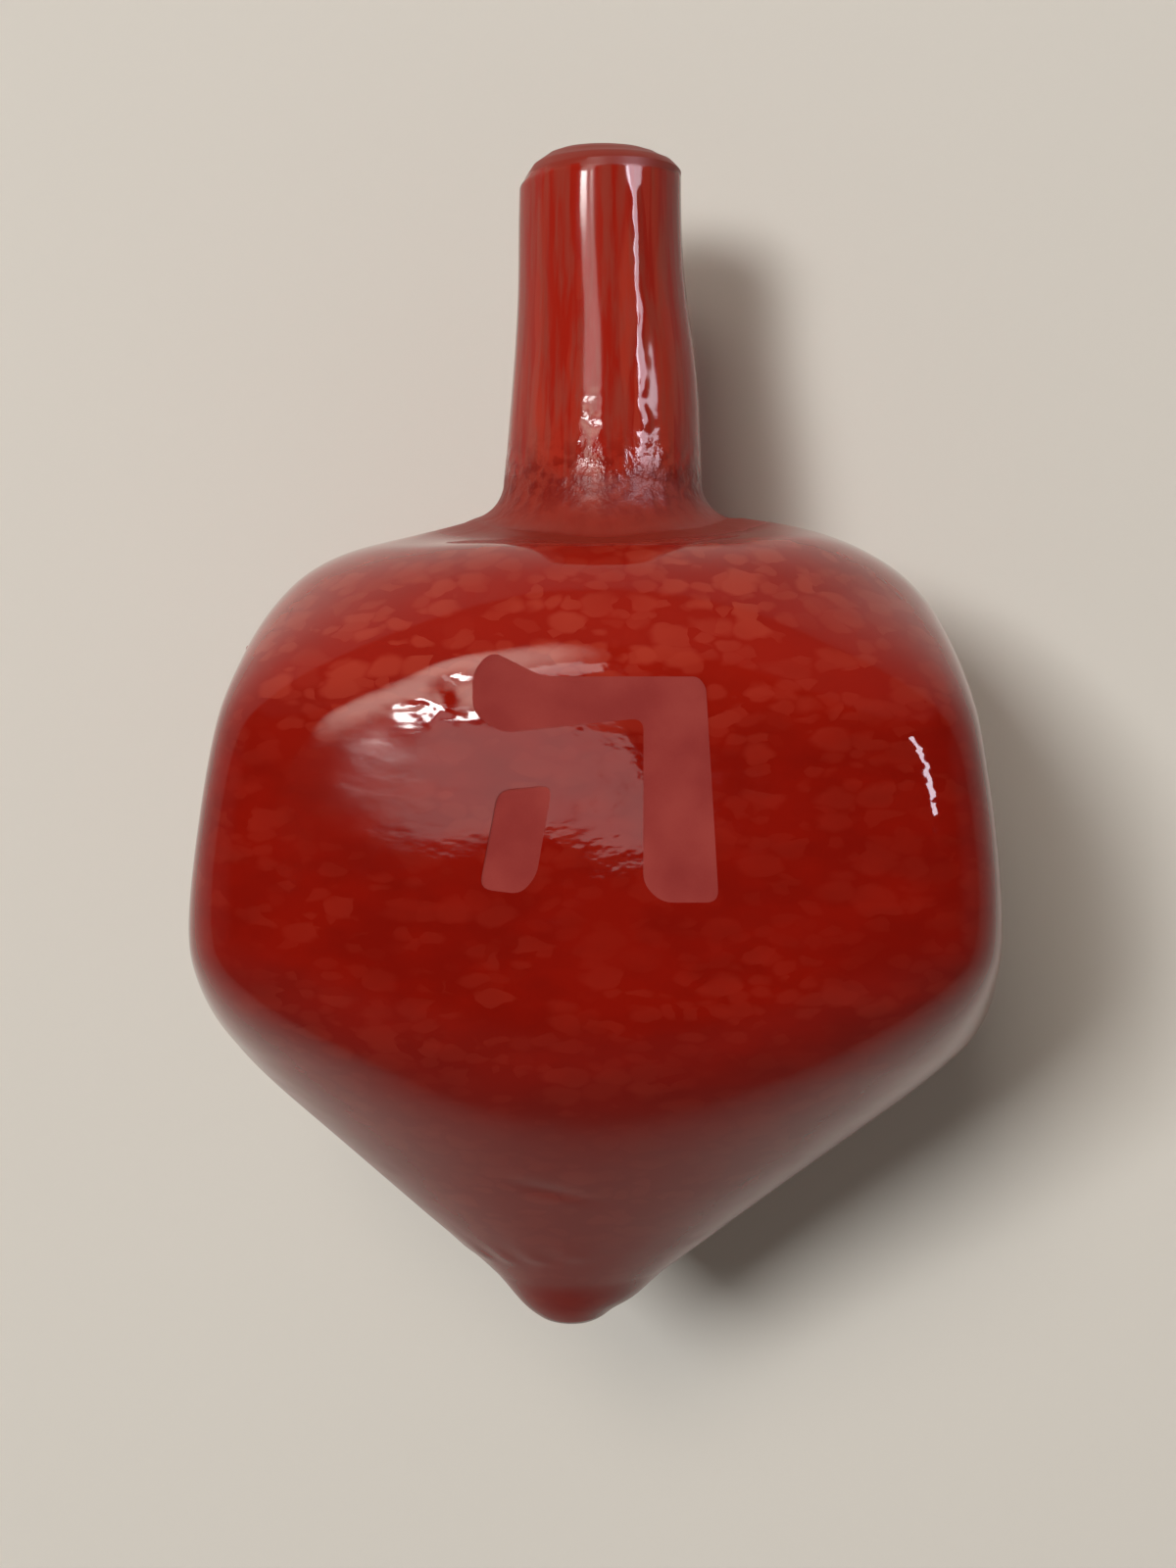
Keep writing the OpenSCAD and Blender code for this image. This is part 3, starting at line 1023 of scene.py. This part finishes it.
def reflected(panels, pieces=()):
    """Panels that show only as reflections, on these pieces alone if any are named."""
    for name, panel in panels.items():
        light = panel_light(name, panel)
        light.visible_diffuse = False
        if pieces:
            reached = bpy.data.collections.new(name + "_on")
            for piece in pieces:
                reached.objects.link(bpy.data.objects[piece])
            light.light_linking.receiver_collection = reached


def lights():
    """One soft key for form and shadow, and the reflected panels."""
    key = panel_light("key", KEY)
    key.visible_glossy = False
    reflected(BODY_PANELS, BODY_PIECES)
    reflected(SHARED_PANELS)
    reflected(STEM_PANELS, DRAWN_PIECES)


# Room light: dim overhead, paler ahead of the stem, behind the tip and far to the sides, and a glow
ROOM_COLOUR = (1, 0.87, 0.75, 1)
ROOM_LIGHT = Step(0.0, 1.0, 0.05, 0.25)
AHEAD = Step(0.58, 0.7)
BEHIND = Step(0.15, -0.6, 0.0, 0.8)
BESIDE = Step(0.8, 1.0)
GLOW_TOWARDS = (-0.165, 0.55, 0.82)
GLOW = Step(0.982, 1.0, 0.0, 13)


def sky():
    world = bpy.data.worlds.new("room")
    bpy.context.scene.world = world
    n = Nodes(world)
    direction = n.add("ShaderNodeTexCoord").outputs["Generated"]
    axes = n.add("ShaderNodeSeparateXYZ", Vector=direction)
    x, y = axes.outputs["X"], axes.outputs["Y"]
    ahead_or_behind = n.math("MAXIMUM", n.step(y, AHEAD), n.step(y, BEHIND))
    pale = n.math("MAXIMUM", ahead_or_behind, n.step(n.math("ABSOLUTE", x), BESIDE))
    towards = n.add("ShaderNodeVectorMath", {"operation": "DOT_PRODUCT"})
    n.put(towards.inputs[0], direction)
    n.put(towards.inputs[1], Vector(GLOW_TOWARDS).normalized())
    glow = n.step(towards.outputs["Value"], GLOW)
    background = n.tree.nodes["Background"]
    n.put(background.inputs["Strength"], n.math("ADD", n.step(pale, ROOM_LIGHT), glow))
    n.put(background.inputs["Color"], ROOM_COLOUR)


# The camera stands in front of the hei side: its place is upright, in millimetres
VIEW_DISTANCE = 171.7
VIEW_TILT = math.radians(4)
VIEW_ROLL = math.radians(1.5)
VIEW_TARGET = (-0.94, 0, 35.48)
SENSOR = 36
# Focal length and height of the picture, in pixels
FOCAL_PIXELS = 2700
PICTURE_PIXELS = 1600
# Nearest distance that it sees, in metres
CLIP_START = 0.01


def camera():
    lens = bpy.data.cameras.new("camera")
    lens.sensor_width = SENSOR
    lens.lens = SENSOR * FOCAL_PIXELS / PICTURE_PIXELS
    lens.clip_start = CLIP_START
    eye = bpy.data.objects.new("camera", lens)
    bpy.context.scene.collection.objects.link(eye)
    bpy.context.scene.camera = eye
    back = Vector((0, -math.cos(VIEW_TILT), math.sin(VIEW_TILT)))
    up = Vector((0, math.sin(VIEW_TILT), math.cos(VIEW_TILT)))
    place = Matrix((up.cross(back), up, back)).transposed().to_4x4()
    place.translation = Vector(VIEW_TARGET) + back * VIEW_DISTANCE
    seen = LAID @ Matrix.Rotation(VIEW_ROLL, 4, "Z") @ place
    where, turn, _ = seen.decompose()
    eye.matrix_world = Matrix.LocRotScale(where, turn, None)


def dress(piece, node, material):
    """Puts a piece in the place of its node."""
    piece.data.materials.clear()
    piece.data.materials.append(material)
    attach(piece, "root")
    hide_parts(node)


def main():
    bpy.context.scene.view_settings.view_transform = "Standard"
    red = red_glass()
    for node, piece in (("casing", casing()), ("collar", collar()), ("stem", stem()), ("tip", tip())):
        mark_surface(piece)
        dress(piece, node, red)
    frosted = frosted_glass()
    for name in LETTERS:
        dress(letter(name), name, frosted)
    core = frame["nodes"]["core"]
    core.data.materials.clear()
    core.data.materials.append(clear_glass())
    floor()
    lights()
    sky()
    camera()


main()
